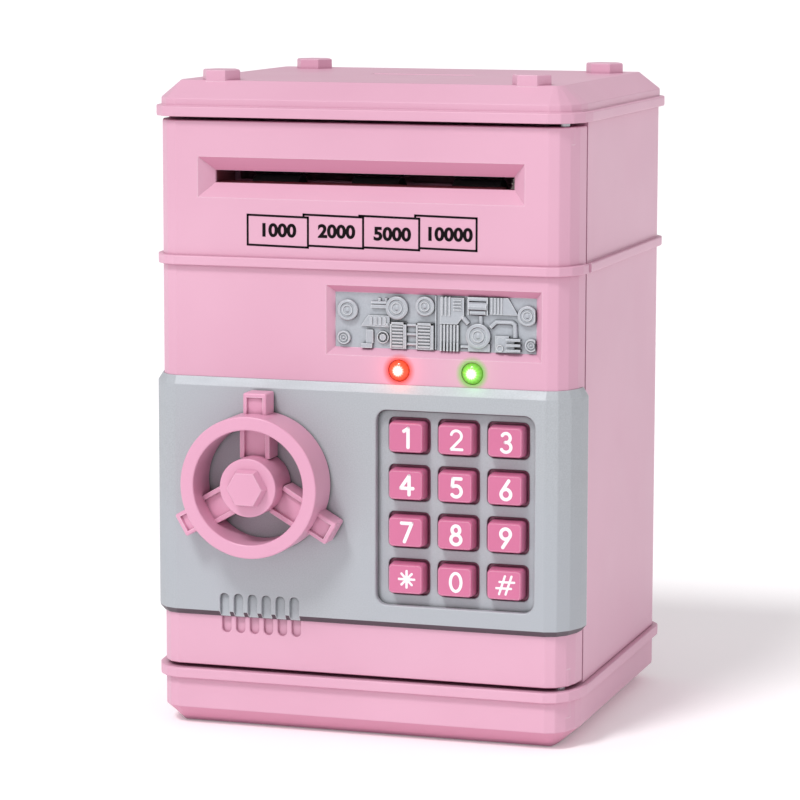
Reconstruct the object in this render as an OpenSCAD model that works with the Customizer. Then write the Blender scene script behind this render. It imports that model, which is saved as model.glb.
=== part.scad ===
// Toy safe coin bank: a case on a base, a wrap-round door with a dial wheel and a
// number pad, a banknote feeder, a cam latch and a battery box in the base.
// Millimetres. The origin is the middle of the base's underside, +Z is up and the
// door faces -Y.

/* [Case] */
// Width of the case walls, without the rims
case_w = 125; // [123:1:130]
// Depth of the case walls, from the door's face to the back
case_d = 106; // [99:1:110]
// Height to the top of the lid's bosses
total_h = 190; // [188:1:196]
// Thickness of the moulded walls
wall = 2.2; // [1.8:0.1:2.4]
// How far the lid's and the base's rims stand out
rim_out = 1.7; // [1:0.1:2]
// How far the belt round the case stands out
belt_out = 1.5; // [1:0.1:1.8]

/* [Door] */
// Clear height between the door and the rims above and below it
door_gap = 1; // [0.6:0.1:1.4]
// Depth of the door's sides
door_side = 13.5; // [13.5:0.1:14]
// How far the silver fascia stands out from the door
fascia_out = 1.8; // [1.4:0.1:2]

/* [Wheel] */
// Outer radius of the wheel's ring
ring_r = 20.3; // [19:0.1:21]
// Depth of the ring, front to back
ring_d = 13.2; // [11:0.1:14]
// Radius to the ends of the three tabs
tab_r = 26.2; // [25:0.1:27]

/* [Number pad] */
// Width of a key
key_w = 10.7; // [10:0.1:11.4]
// Height of a key
key_h = 9; // [8:0.1:9.5]
// How far a key can be pressed
key_travel = 1.2; // [0.8:0.1:1.4]

/* [Hidden] */

pink = [0.94, 0.73, 0.83];
deep_pink = [0.90, 0.52, 0.68];
silver = [0.74, 0.76, 0.78];
steel = [0.62, 0.64, 0.66];
dark = [0.14, 0.14, 0.15];
green = [0.12, 0.42, 0.22];
eps = 0.01;

// The case in plan
hw = case_w / 2;
yf = -50.5;
yb = yf + case_d;
front_rx = 7.4;
front_ry = 13;
back_r = 6;
facets = 4;
door_back = yf + door_side;
shell_front = door_back + 1.1;

// Heights
chamfer_top = 5.1;
chamfer_in = 6;
base_rim_z = 13.9;
base_top = 17;
door_bottom = base_top + door_gap;
boss_h = 3;
lid_face = total_h - boss_h;
lid_bottom = lid_face - 10.1;
door_top = lid_bottom - door_gap;
lid_rim_top = lid_bottom + 2.9;
lid_fascia_top = lid_bottom + 5.1;
lid_slope_in = 6;
belt_z = 134.6;
belt_h = 2.7;

// The hinge line, inside the door's front right corner
hinge_x = hw - 4.5;
hinge_y = yf + 6;
pin_r = 1.5;
run = 0.06;

// The note slot and the relief window
slot_z = 159.8;
slot_w = 88.6;
slot_h = 3.6;
bezel_w = 96.6;
bezel_h = 11.8;
window = [21.9, 120.3];
window_w = 59;
window_h = 15.6;
window_bevel = 2.1;
led_z = 106.6;
led_xs = [11.9, 33.4];
led_r = 3.1;

// The fascia, the wheel's centre and the number pad
fascia_z0 = 32.9;
fascia_z1 = 102.6;
fascia_back = yf + 11.8;
fascia_y = yf - fascia_out;
wheel = [-28, 73.4];
wheel_y = fascia_y - 0.5;
ring_y = wheel_y - ring_d;
ring_in = 16.4;
hub_r = 8.4;
spoke_d = 7.1;
spoke_w = 9;
cap_r = 5.5;
cap_h = 2.9;
shaft_r = 3;
pad = [28.9, 67.4];
pad_w = 46.4;
pad_h = 55.8;
pad_floor = yf + 0.3;
key_pitch = [14.5, 13.5];
key_y = fascia_y - 1.4;
groove_pitch = 4.25;
groove_x0 = -40.2;
groove_w = 2.8;
groove_z = [29.4, 38.3];

// The latch behind the door's cover, and its solenoid
arm_y = door_back + 4;
arm_t = 2;
arm_l = 31;
disc_y = yf + 7;
disc_t = 2.4;
disc_r = 10;
notch_d = 3.2;
plunger_r = 1.8;

// The note feeder
feed_y = -32;
feed_z = 154.6;
feed_r = 5;
pinch_r = 4;
pinch_z = feed_z + feed_r + pinch_r + 0.3;
shaft_thin = 1.5;
frame_x = 46;
gear_module = 0.5;
gear_teeth = 28;
pinion_teeth = 19;
gear_x = 41;
gear_t = 3;
motor_z = feed_z - gear_module * (gear_teeth + pinion_teeth) / 2;
motor_r = 6.5;
bulge_y = -24;

// Fasteners and cells
screw_r = 1.1;
case_screw_at = [for (x = [-1, 1], y = [-24, 40]) [x * 50, y]];
lid_screw_at = [for (x = [-1, 1], y = [-27, 40]) [x * 46, y]];
cover_screw_at = [[-53, 28], [50, 28], [-53, 130], [54, 104]];
cell_r = 7.1;
cell_l = 48;
cell_pitch = 14.8;

// --- Plan outlines ---

// Points along one quarter of an ellipse that ends at corner c, where sx and sy point outwards
function corner(c, rx, ry, sx, sy, a0) = [
  for (i = [0:facets])
    let (a = a0 + 90 * i / facets) [c[0] - sx * rx + rx * cos(a), c[1] - sy * ry + ry * sin(a)]
];

// The case's outline, grown outwards by g
function plan(g) =
  let (
    x = hw + g,
    rx = max(front_rx + g, 0.6),
    ry = max(front_ry + g, 0.6),
    rb = max(back_r + g, 0.6)
  )
  concat(
    corner([x, yf - g], rx, ry, 1, -1, -90),
    corner([x, yb + g], rb, rb, 1, 1, 0),
    corner([-x, yb + g], rb, rb, -1, 1, 90),
    corner([-x, yf - g], rx, ry, -1, -1, 180)
  );

module slab(g, z0, z1) translate([0, 0, z0]) linear_extrude(z1 - z0) polygon(plan(g));

// Everything in front of y, with the two rear corners cut by c
module front_half(y, c, z0, z1) {
  out = hw + 8;
  in = hw + 1.6;
  translate([0, 0, z0]) linear_extrude(z1 - z0)
    polygon([
      [-out, yf - 30], [out, yf - 30], [out, y - c], [in, y - c], [in - c - 1.6, y],
      [-in + c + 1.6, y], [-in, y - c], [-out, y - c]
    ]);
}

module rear_half(y, z0, z1) translate([-hw - 8, y, z0]) cube([2 * hw + 16, 2 * yb, z1 - z0]);

module box(x0, x1, y0, y1, z0, z1) translate([x0, y0, z0]) cube([x1 - x0, y1 - y0, z1 - z0]);

// A cylinder along Y from y0 to y1
module rod_y(at, y0, y1, r, fn = 48)
  translate([at[0], y0, at[1]]) rotate([-90, 0, 0]) cylinder(h = y1 - y0, r = r, $fn = fn);

// A cylinder along X from x0 to x1
module rod_x(x0, x1, y, z, r) translate([x0, y, z]) rotate([0, 90, 0]) cylinder(h = x1 - x0, r = r, $fn = 48);

module rod_z(at, z0, z1, r) translate([at[0], at[1], z0]) cylinder(h = z1 - z0, r = r, $fn = 48);

// A rectangle w by h with round corners, along Y from y0 to y1
module round_box(at, w, h, r, y0, y1)
  translate([at[0], y1, at[1]]) rotate([90, 0, 0]) linear_extrude(y1 - y0)
    union() {
      square([w - 2 * r, h], center = true);
      square([w, h - 2 * r], center = true);
      for (x = [-1, 1], z = [-1, 1]) translate([x * (w / 2 - r), z * (h / 2 - r)]) circle(r, $fn = 32);
    }

// A rectangular funnel: w by h at y0, smaller by b all round at y1
module funnel(at, w, h, b, y0, y1) hull() {
  box(at[0] - w / 2, at[0] + w / 2, y0 - eps, y0, at[1] - h / 2, at[1] + h / 2);
  box(at[0] - w / 2 + b, at[0] + w / 2 - b, y1, y1 + eps, at[1] - h / 2 + b, at[1] + h / 2 - b);
}

// A pan-head screw along +Z, head down, its head's underside at z0
module screw_up(at, z0, l) {
  rod_z(at, z0 - 1.4, z0, 2.4);
  rod_z(at, z0 - eps, z0 + l, screw_r);
}

// --- Case ---

module base() color(pink) {
  difference() {
    union() {
      hull() {
        slab(-chamfer_in, 0, eps);
        slab(0, chamfer_top - eps, chamfer_top);
      }
      slab(0, chamfer_top, base_rim_z);
      slab(rim_out, base_rim_z, base_top);
    }
    slab(-chamfer_in - 2, 2, chamfer_top);
    slab(-wall, chamfer_top - eps, base_top - 2);
    intersection() {
      slab(-wall, base_top - 2 - eps, base_top + 1);
      rear_half(shell_front, 0, total_h);
    }
    box(-29, 29, -23, 23, -1, 3);
    box(-5.3, 5.3, 22.9, 30.3, -1, 3);
    for (at = case_screw_at) rod_z(at, -1, 3, 2.6);
    rod_z([hinge_x, hinge_y], base_top - 6, base_top + 1, pin_r);
  }
  for (at = case_screw_at) difference() {
    rod_z(at, 2 - eps, base_top, 4);
    rod_z(at, 0, base_top + 1, 1.3);
    rod_z(at, 0, base_top - 4, 2.6);
  }
  difference() {
    rod_z([hinge_x, hinge_y], base_top - 8, base_top - 2 + eps, 3.2);
    rod_z([hinge_x, hinge_y], base_top - 6, base_top, pin_r);
  }
  difference() {
    box(-31, 31, -25, 25, 2 - eps, base_top);
    box(-29, 29, -23, 23, 0, base_top + 1);
  }
  difference() {
    rod_z([0, 27], 2, 12, 3.2);
    rod_z([0, 27], 1, 13, screw_r);
  }
}

module shell_walls() intersection() {
  difference() {
    union() {
      slab(0, base_top, lid_bottom);
      slab(belt_out, belt_z, belt_z + belt_h);
    }
    difference() {
      slab(-wall, base_top + 2, lid_bottom - 2);
      rear_half(yb - wall, 0, total_h);
    }
  }
  rear_half(shell_front, 0, total_h);
}

module body_shell() color(pink) {
  difference() {
    shell_walls();
    box(-25, 25, -8, 28, lid_bottom - 3, lid_bottom + 1);
    for (at = lid_screw_at) rod_z(at, lid_bottom - 3, lid_bottom + 1, 1.3);
    for (at = case_screw_at) rod_z(at, base_top - 1, base_top + 3, screw_r);
  }
  // The keeper that the latch arm turns behind
  box(-hw + wall - eps, -hw + wall + 5, shell_front, arm_y - 0.6, wheel[1] - 8, wheel[1] + 8);
  // Screw posts for the base
  for (at = case_screw_at) difference() {
    rod_z(at, base_top + 2 - eps, base_top + 8, 3);
    rod_z(at, base_top + 1, base_top + 9, screw_r);
  }
}

module hex_boss(at) translate([at[0], at[1], lid_face - 1]) cylinder(h = boss_h + 1, r = 5.7, $fn = 6);

module top_lid() color(pink) difference() {
  union() {
    slab(rim_out + 0.1, lid_bottom, lid_rim_top);
    slab(0.3, lid_rim_top, lid_fascia_top);
    hull() {
      slab(0.3, lid_fascia_top, lid_fascia_top + eps);
      slab(-lid_slope_in, lid_face - eps, lid_face);
    }
    for (x = [-46, 46], y = [-40, 40]) hex_boss([x, y]);
  }
  difference() {
    intersection() {
      slab(-wall - 6, lid_bottom - 1, lid_face - 2.4);
      rear_half(shell_front + 2, 0, total_h);
    }
    for (at = lid_screw_at) rod_z(at, lid_bottom - 1, lid_face, 3.2);
  }
  for (at = lid_screw_at) rod_z(at, lid_bottom - 1, lid_bottom + 6, screw_r);
  box(-15, 15, 8.2, 11.8, lid_bottom, lid_face + 1);
  rod_z([hinge_x, hinge_y], lid_bottom - 1, lid_bottom + 6, pin_r);
}

module hinge_pins() color(steel) {
  rod_z([hinge_x, hinge_y], base_top - 6, door_bottom + 4, pin_r);
  rod_z([hinge_x, hinge_y], door_top - 4, lid_bottom + 6, pin_r);
}

module case_screws() color(steel) for (at = case_screw_at) screw_up(at, base_top - 4, 10);

module lid_screws() color(steel) for (at = lid_screw_at) screw_up(at, lid_bottom - 2, 7.5);

module battery_cover() color(pink) difference() {
  union() {
    box(-28.7, 28.7, -22.7, 22.7, 0, 1.8);
    box(-5, 5, 22.7 - eps, 30, 0, 1.8);
  }
  rod_z([0, 27], -1, 3, 1.3);
  rod_z([0, 27], -1, 0.9, 2.4);
  for (x = [-12:4:12]) box(x - 0.6, x + 0.6, -20, -12, -1, 0.6);
}

module battery_screw() color(steel) {
  rod_z([0, 27], 0.1, 0.9, 2.2);
  rod_z([0, 27], 0.9 - eps, 9, screw_r);
}

module batteries() color(dark) for (i = [-1:1]) {
  s = i == 0 ? -1 : 1;
  rod_x(-cell_l / 2, cell_l / 2, i * cell_pitch, 9.5, cell_r);
  rod_x(s > 0 ? cell_l / 2 - eps : -cell_l / 2 - 1.2, s > 0 ? cell_l / 2 + 1.2 : -cell_l / 2 + eps,
        i * cell_pitch, 9.5, 2.6);
}

module battery_contacts() color(steel) for (i = [-1:1], s = [-1, 1]) {
  box(s > 0 ? 28.4 : -28.9, s > 0 ? 28.9 : -28.4, i * cell_pitch - 5, i * cell_pitch + 5, 4, 15);
  plus = (i == 0 ? -1 : 1) == s;
  if (!plus) difference() {
    rod_x(s > 0 ? cell_l / 2 : -28.4 - eps, s > 0 ? 28.4 + eps : -cell_l / 2, i * cell_pitch, 9.5, 3.2);
    rod_x(-40, 40, i * cell_pitch, 9.5, 2.4);
  }
}

// --- Door ---

module grooves(y0, y1) for (i = [0:5]) {
  x = groove_x0 + i * groove_pitch;
  box(x - groove_w / 2, x + groove_w / 2, y0, y1, groove_z[0], groove_z[1]);
  for (z = groove_z) rod_y([x, z], y0, y1, groove_w / 2);
}

module door_skin() intersection() {
  difference() {
    slab(0, door_bottom, door_top);
    slab(-wall, door_bottom + wall, door_top - wall);
  }
  front_half(door_back, 1, 0, total_h);
}

module door_belt() intersection() {
  difference() {
    slab(belt_out, belt_z, belt_z + belt_h);
    slab(-1, 0, total_h);
  }
  front_half(door_back - 1, 1, 0, total_h);
}

module door_panel() color(pink) difference() {
  union() {
    door_skin();
    door_belt();
    box(-52, 52, yf + 1, yf + 5, slot_z - 8.5, slot_z + 8.5);
    rod_y(wheel, yf + 1, yf + 6, 6);
    for (at = cover_screw_at) rod_y(at, yf + 1, door_back - 2, 3);
    for (z = [door_bottom, door_top - 5]) rod_z([hinge_x, hinge_y], z, z + 5, 3.1);
  }
  funnel([0, slot_z], bezel_w, bezel_h, (bezel_h - slot_h) / 2, yf, yf + 3);
  box(-slot_w / 2, slot_w / 2, yf, yf + 6, slot_z - slot_h / 2, slot_z + slot_h / 2);
  funnel(window, window_w + 2 * window_bevel, window_h + 2 * window_bevel, window_bevel, yf, yf + 1.6);
  round_box(window, window_w, window_h, 0.5, yf, yf + 3);
  for (x = led_xs) rod_y([x, led_z], yf - 1, yf + 3, led_r);
  round_box(pad, pad_w + 2, pad_h + 2, 3, yf - 1, yf + 3);
  rod_y(wheel, yf - 1, yf + 7, shaft_r + run);
  for (at = cover_screw_at) rod_y(at, yf + 3, door_back, screw_r);
  rod_z([hinge_x, hinge_y], door_bottom - 1, door_bottom + 6, pin_r + run);
  rod_z([hinge_x, hinge_y], door_top - 6, door_top + 1, pin_r + run);
  grooves(yf - 1, yf + 1.2);
}

// One key's place, by column and row from the top left
function key_at(col, row) =
  [pad[0] + 0.5 + (col - 1) * key_pitch[0], pad[1] + (1.5 - row) * key_pitch[1] + 0.4];

module fascia_body() {
  bevel = 2.4;
  intersection() {
    difference() {
      union() {
        slab(fascia_out, fascia_z0 + fascia_out, fascia_z1 - bevel);
        hull() {
          slab(fascia_out, fascia_z1 - bevel - eps, fascia_z1 - bevel);
          slab(0.2, fascia_z1 - eps, fascia_z1);
        }
        hull() {
          slab(0.2, fascia_z0, fascia_z0 + eps);
          slab(fascia_out, fascia_z0 + fascia_out, fascia_z0 + fascia_out + eps);
        }
      }
      slab(0, 0, total_h);
    }
    front_half(fascia_back, 1.2, 0, total_h);
  }
}

module silver_fascia() color(silver) {
  difference() {
    fascia_body();
    round_box(pad, pad_w, pad_h, 3, fascia_y - 1, yf + 1);
    rod_y(wheel, fascia_y - 1, yf + 1, shaft_r + 0.8);
    grooves(fascia_y - 1, fascia_y + 1.3);
  }
  difference() {
    round_box(pad, pad_w + 1.4, pad_h + 1.4, 3, yf - eps, yf + 1.8);
    round_box(pad, pad_w, pad_h, 2.8, yf - 1, pad_floor);
    for (c = [0:2], r = [0:3])
      round_box(key_at(c, r), 12.4, 10.1, 1.4, yf - 1, yf + 3);
  }
}

module relief_plate() color(silver) {
  y = yf + 2.2;
  box(window[0] - 31, window[0] + 31, y, y + 1.2, window[1] - 9.2, window[1] + 9.2);
  for (p = [[-25.4, 2.6, 2.6], [-11.6, 3.4, 2.8], [-3.6, 3.6, 2.4], [12.2, -4.6, 2.8], [26.4, 1, 2.4]])
    rod_y([window[0] + p[0], window[1] + p[1]], y - 0.9, y + eps, p[2]);
  for (p = [[-12, -3.8, 4.4, 6], [-4, -3.8, 4.6, 6], [4, 2, 5, 6], [18, 3.4, 6, 4]])
    box(window[0] + p[0] - p[2] / 2, window[0] + p[0] + p[2] / 2, y - 0.7, y + eps,
        window[1] + p[1] - p[3] / 2, window[1] + p[1] + p[3] / 2);
}

module led(x) {
  rod_y([x, led_z], yf - 0.6, yf + 4, led_r);
  rod_y([x, led_z], yf + 3, yf + 4, led_r + 0.4);
}
module led_red() color([0.9, 0.1, 0.08]) led(led_xs[0]);
module led_green() color([0.1, 0.8, 0.2]) led(led_xs[1]);

module key_button(col, row) color(deep_pink) {
  at = key_at(col, row);
  round_box(at, key_w, key_h, 1.2, key_y, yf + 2.4);
  round_box(at, 13.1, 11.2, 1.2, yf + 2.3, yf + 3.3);
}
module key_1() key_button(0, 0);
module key_2() key_button(1, 0);
module key_3() key_button(2, 0);
module key_4() key_button(0, 1);
module key_5() key_button(1, 1);
module key_6() key_button(2, 1);
module key_7() key_button(0, 2);
module key_8() key_button(1, 2);
module key_9() key_button(2, 2);
module key_star() key_button(0, 3);
module key_0() key_button(1, 3);
module key_hash() key_button(2, 3);

module key_membrane() color(dark) {
  round_box(pad, pad_w + 2, pad_h + 2, 2, yf + 6.2, yf + 7);
  for (c = [0:2], r = [0:3]) rod_y(key_at(c, r), yf + 3.4 + key_travel, yf + 6.3, 2.6);
}

module keypad_board() color(green) round_box(pad, pad_w + 3, pad_h + 2, 1, yf + 7, yf + 8.4);

module control_board() color(green) {
  round_box([22, 120], 62, 24, 1, yf + 6, yf + 7.4);
  round_box([14, 118], 14, 9, 0.5, yf + 7.3, yf + 9);
  round_box([38, 122], 7, 7, 0.5, yf + 7.3, yf + 9);
}

module speaker() color(dark) {
  at = [-29.5, 38];
  rod_y(at, yf + wall, yf + wall + 3, 14);
  rod_y(at, yf + wall + 2.9, yf + wall + 7, 8);
}

module inner_cover() color(pink) difference() {
  union() {
    box(-hw + wall + 0.6, hw - wall - 1, door_back - 2, door_back, 26, 169);
    box(-50, 50, door_back - eps, bulge_y + 1.6, 134, 171);
  }
  box(-48.4, 48.4, door_back - 3, bulge_y, 135.6, 169.4);
  box(-45, 45, bulge_y - 1, bulge_y + 2, slot_z - 2.4, slot_z + 2.4);
  rod_y(wheel, door_back - 3, door_back + 1, shaft_r + 0.8);
  for (at = cover_screw_at) rod_y(at, door_back - 3, door_back + 1, 1.3);
}

module cover_screws() color(steel) for (at = cover_screw_at) {
  rod_y(at, door_back, door_back + 1.2, 2.4);
  rod_y(at, door_back - 7, door_back + eps, screw_r);
}

module solenoid() color(steel) difference() {
  box(wheel[0] - 7, wheel[0] + 7, disc_y - 3.6, disc_y + 4.4, wheel[1] + 16, wheel[1] + 32);
  rod_z([wheel[0], disc_y + disc_t / 2], wheel[1] + 15, wheel[1] + 28, plunger_r + run);
}

module lock_plunger() color(steel)
  rod_z([wheel[0], disc_y + disc_t / 2], wheel[1] + disc_r + 0.6, wheel[1] + 24, plunger_r);

// --- Wheel and latch ---

module spoke(a) translate([wheel[0], 0, wheel[1]]) rotate([0, -a, 0]) difference() {
  box(hub_r - 1.5, tab_r, wheel_y - spoke_d, wheel_y, -spoke_w / 2, spoke_w / 2);
  box(hub_r - 2, ring_in + 1, wheel_y - spoke_d - 1, wheel_y - spoke_d + 1.6,
      -spoke_w / 2 + 1.5, spoke_w / 2 - 1.5);
  box(ring_r + 1, tab_r - 1.4, wheel_y - spoke_d - 1, wheel_y - spoke_d + 0.9, -2, 2);
  for (s = [-1, 1])
    box(ring_in + 1.5, tab_r + 1, wheel_y - spoke_d - 1, wheel_y + 1, s > 0 ? 3.5 : -9, s > 0 ? 9 : -3.5);
}

module handwheel() color(deep_pink) difference() {
  union() {
    difference() {
      rod_y(wheel, ring_y, wheel_y, ring_r, 96);
      rod_y(wheel, ring_y - 1, wheel_y + 1, ring_in, 96);
    }
    rod_y(wheel, ring_y, wheel_y, hub_r, 64);
    for (a = [90, 210, 330]) spoke(a);
  }
  rod_y(wheel, ring_y + 3, wheel_y + 1, shaft_r);
}

module hub_cap() color(deep_pink) translate([wheel[0], ring_y, wheel[1]]) rotate([90, 0, 0])
  cylinder(h = cap_h, r = cap_r, $fn = 6);

module knob_shaft() color(steel) {
  rod_y(wheel, ring_y + 3, arm_y + arm_t, shaft_r);
  rod_y(wheel, arm_y + arm_t - eps, arm_y + arm_t + 3, 1.5);
}

module shaft_clip() color(steel) difference() {
  rod_y(wheel, yf + 6.1, yf + 6.9, 4.6);
  rod_y(wheel, yf + 5, yf + 8, shaft_r);
}

module lock_disc() color(silver) difference() {
  rod_y(wheel, disc_y, disc_y + disc_t, disc_r);
  rod_y(wheel, disc_y - 1, disc_y + disc_t + 1, shaft_r);
  translate([wheel[0], 0, wheel[1]]) for (a = [0, 90]) rotate([0, -a, 0])
    box(disc_r - notch_d, disc_r + 1, disc_y - 1, disc_y + disc_t + 1, -2.3, 2.3);
}

module latch_arm() color(steel) difference() {
  union() {
    rod_y(wheel, arm_y, arm_y + arm_t, 6);
    box(wheel[0] - 4, wheel[0] + 4, arm_y, arm_y + arm_t, wheel[1], wheel[1] + arm_l);
  }
  rod_y(wheel, arm_y - 1, arm_y + arm_t + 1, shaft_r);
}

module arm_nut() color(steel) difference() {
  rod_y(wheel, arm_y + arm_t, arm_y + arm_t + 2.2, 3.6, 6);
  rod_y(wheel, arm_y + arm_t - 1, arm_y + arm_t + 3, 1.5);
}

// --- Note feeder ---

module feeder_frame() color(dark) {
  difference() {
    for (s = [-1, 1])
      box(s > 0 ? frame_x : -frame_x - 1.6, s > 0 ? frame_x + 1.6 : -frame_x,
          yf + 5.2, feed_y + 6, 137, 168.5);
    for (z = [feed_z, pinch_z]) rod_x(-frame_x - 2, frame_x + 2, feed_y, z, shaft_thin + run);
  }
  // The note guides, below and above the slot
  box(-frame_x - eps, 39.5, yf + 5.2, feed_y - feed_r - 0.6, slot_z - 2.8, slot_z - 1.8);
  box(-frame_x - eps, 39.5, yf + 5.2, feed_y - pinch_r - 0.6, slot_z + 1.8, slot_z + 2.8);
  // The front plate, in two halves, and the motor's end plate
  box(-frame_x - eps, frame_x + eps, yf + 5.2, yf + 6.4, 137, slot_z - 1.8);
  box(-frame_x - eps, frame_x + eps, yf + 5.2, yf + 6.4, slot_z + 1.8, 168.5);
  box(12, 14, yf + 5.2, feed_y + 6, 137, 149);
}

module gear(teeth, at, x0, x1, bore) {
  rp = gear_module * teeth / 2;
  translate([x0, at[0], at[1]]) rotate([0, 90, 0]) linear_extrude(x1 - x0) difference() {
    union() {
      circle(rp - gear_module * 1.2, $fn = 64);
      for (i = [0:teeth - 1]) rotate(360 * i / teeth)
        polygon([
          [rp - gear_module * 1.4, -gear_module * 0.78], [rp + gear_module * 0.8, -gear_module * 0.3],
          [rp + gear_module * 0.8, gear_module * 0.3], [rp - gear_module * 1.4, gear_module * 0.78]
        ]);
    }
    circle(bore, $fn = 32);
  }
}

module feed_shaft() color(steel) rod_x(-frame_x - 1.6, frame_x + 1.6, feed_y, feed_z, shaft_thin);

module feed_rollers() color(dark) for (x = [-30, 0, 30]) difference() {
  rod_x(x - 7, x + 7, feed_y, feed_z, feed_r);
  rod_x(x - 8, x + 8, feed_y, feed_z, shaft_thin);
}

module feed_gear() color("white") gear(gear_teeth, [feed_y, feed_z], gear_x, gear_x + gear_t, shaft_thin);

module pinch_shaft() color(steel) rod_x(-frame_x - 1.6, frame_x + 1.6, feed_y, pinch_z, shaft_thin);

module pinch_rollers() color(dark) for (x = [-30, 0, 30]) difference() {
  rod_x(x - 7, x + 7, feed_y, pinch_z, pinch_r);
  rod_x(x - 8, x + 8, feed_y, pinch_z, shaft_thin);
}

module feed_motor() color(steel) difference() {
  union() {
    rod_x(14, 37, feed_y, motor_z, motor_r - 0.5);
    rod_x(37 - eps, 39, feed_y, motor_z, 3);
  }
  rod_x(30, 40, feed_y, motor_z, 1 + run);
}

module motor_pinion() color("white") {
  gear(pinion_teeth, [feed_y, motor_z], gear_x - 0.5, gear_x + gear_t + 0.5, 1);
  rod_x(31, gear_x + gear_t + 0.5, feed_y, motor_z, 1);
}

base();
body_shell();
top_lid();
hinge_pins();
case_screws();
lid_screws();
battery_cover();
battery_screw();
batteries();
battery_contacts();
door_panel();
silver_fascia();
relief_plate();
led_red();
led_green();
key_membrane();
keypad_board();
control_board();
speaker();
feeder_frame();
feed_motor();
inner_cover();
cover_screws();
solenoid();
handwheel();
hub_cap();
knob_shaft();
shaft_clip();
lock_disc();
latch_arm();
arm_nut();
lock_plunger();
feed_shaft();
feed_rollers();
feed_gear();
pinch_shaft();
pinch_rollers();
motor_pinion();
key_1();
key_2();
key_3();
key_4();
key_5();
key_6();
key_7();
key_8();
key_9();
key_star();
key_0();
key_hash();
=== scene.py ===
"""Toy safe coin bank: the visual model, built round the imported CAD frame.

Shapes are worked out in millimetres in the CAD frame (+Z up, the door faces -Y) and
scaled to metres when each piece is finished.
"""

import bpy
import bmesh
import math
from mathutils import Matrix, Vector


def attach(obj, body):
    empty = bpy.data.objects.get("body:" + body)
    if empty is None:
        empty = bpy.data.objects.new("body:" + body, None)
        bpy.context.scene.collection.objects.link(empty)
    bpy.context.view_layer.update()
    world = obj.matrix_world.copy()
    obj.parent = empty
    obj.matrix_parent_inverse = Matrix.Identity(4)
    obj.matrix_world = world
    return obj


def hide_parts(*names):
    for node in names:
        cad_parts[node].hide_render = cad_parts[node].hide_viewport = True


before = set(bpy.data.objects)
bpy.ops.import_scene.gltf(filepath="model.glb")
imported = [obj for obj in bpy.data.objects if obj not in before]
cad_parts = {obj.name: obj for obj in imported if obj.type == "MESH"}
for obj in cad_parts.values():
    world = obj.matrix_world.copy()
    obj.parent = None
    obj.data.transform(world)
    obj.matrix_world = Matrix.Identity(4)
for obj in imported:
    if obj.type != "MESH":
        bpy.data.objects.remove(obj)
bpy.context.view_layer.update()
MM = 0.001

# --- Sizes shared with the CAD, in millimetres ---
HW, YF, YB = 62.5, -50.5, 55.5
FRONT_RX, FRONT_RY, BACK_R = 7.4, 13.0, 6.0
WALL = 2.2
DOOR_BACK, SHELL_FRONT = -37.0, -35.9
BASE_TOP, DOOR_BOTTOM, DOOR_TOP, LID_BOTTOM = 17.0, 18.0, 175.9, 176.9
FASCIA_Y = -52.3
WHEEL = (-28.0, 73.4)
WHEEL_Y, RING_Y = -52.8, -66.0
PAD = (28.9, 67.4)
WINDOW = (21.9, 120.3)
SLOT_Z = 159.8
LED_Z, LED_XS = 106.6, (11.9, 33.4)
HINGE = (58.0, -44.5)
PIN_R, PIN_BORE_R = 1.5, 1.56
BELT_LOW, BELT_HIGH, BELT_OUT = 134.6, 137.3, 1.5
CASE_SCREWS = [(x, y) for x in (-50, 50) for y in (-24, 40)]
LID_SCREWS = [(x, y) for x in (-46, 46) for y in (-27, 40)]
COVER_SCREWS = ((-53, 28), (50, 28), (-53, 130), (54, 104))
BATTERY_SCREW = (0, 27)
PILOT_R, CLEARANCE_R = 1.1, 1.3
HEAD_R = 2.6
GROOVE_W = 2.8
GROOVE_XS = [-40.2 + 4.25 * i for i in range(6)]
PRINT_PROUD, PRINT_LINE = 0.06, 0.6
FAR = 80

# The corners of a box, numbered with X quickest, then Y, then Z
BOX_FACES = [(0, 1, 3, 2), (4, 6, 7, 5), (0, 4, 5, 1), (2, 3, 7, 6), (0, 2, 6, 4), (1, 5, 7, 3)]


# --- Outlines ---
def fillet(points, radius, steps=3, closed=True):
    """Rounds the corners of a polygon, with the same number of points at every corner."""
    result = []
    last = len(points) - 1
    for i, point in enumerate(points):
        if not closed and i in (0, last):
            result.append(tuple(point))
            continue
        r = radius[i] if isinstance(radius, (list, tuple)) else radius
        here = Vector(point)
        a = Vector(points[i - 1]) - here
        b = Vector(points[(i + 1) % len(points)]) - here
        half = max(a.angle(b) / 2, 0.05)
        reach = min(r / math.tan(half) if half < 1.55 else r, a.length * 0.45, b.length * 0.45)
        reach = max(reach, 1e-3)
        p0, p2 = here + a.normalized() * reach, here + b.normalized() * reach
        for k in range(steps + 1):
            t = k / steps
            result.append(tuple(p0 * (1 - t) ** 2 + here * (2 * t * (1 - t)) + p2 * t * t))
    return result


def corner(c, rx, ry, sx, sy, start, facets=4):
    """A quarter of an oval in flat facets, inside the square corner at c."""
    points = []
    for i in range(facets + 1):
        a = math.radians(start + 90 * i / facets)
        points.append((c[0] - sx * rx + rx * math.cos(a), c[1] - sy * ry + ry * math.sin(a)))
    return points


def plan(g):
    """The case's outline, grown outwards by g."""
    x = HW + g
    rx, ry, rb = max(FRONT_RX + g, 0.6), max(FRONT_RY + g, 0.6), max(BACK_R + g, 0.6)
    outline = (
        corner((x, YF - g), rx, ry, 1, -1, -90)
        + corner((x, YB + g), rb, rb, 1, 1, 0)
        + corner((-x, YB + g), rb, rb, -1, 1, 90)
        + corner((-x, YF - g), rx, ry, -1, -1, 180)
    )
    return fillet(outline, 1.2, 2)


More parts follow.
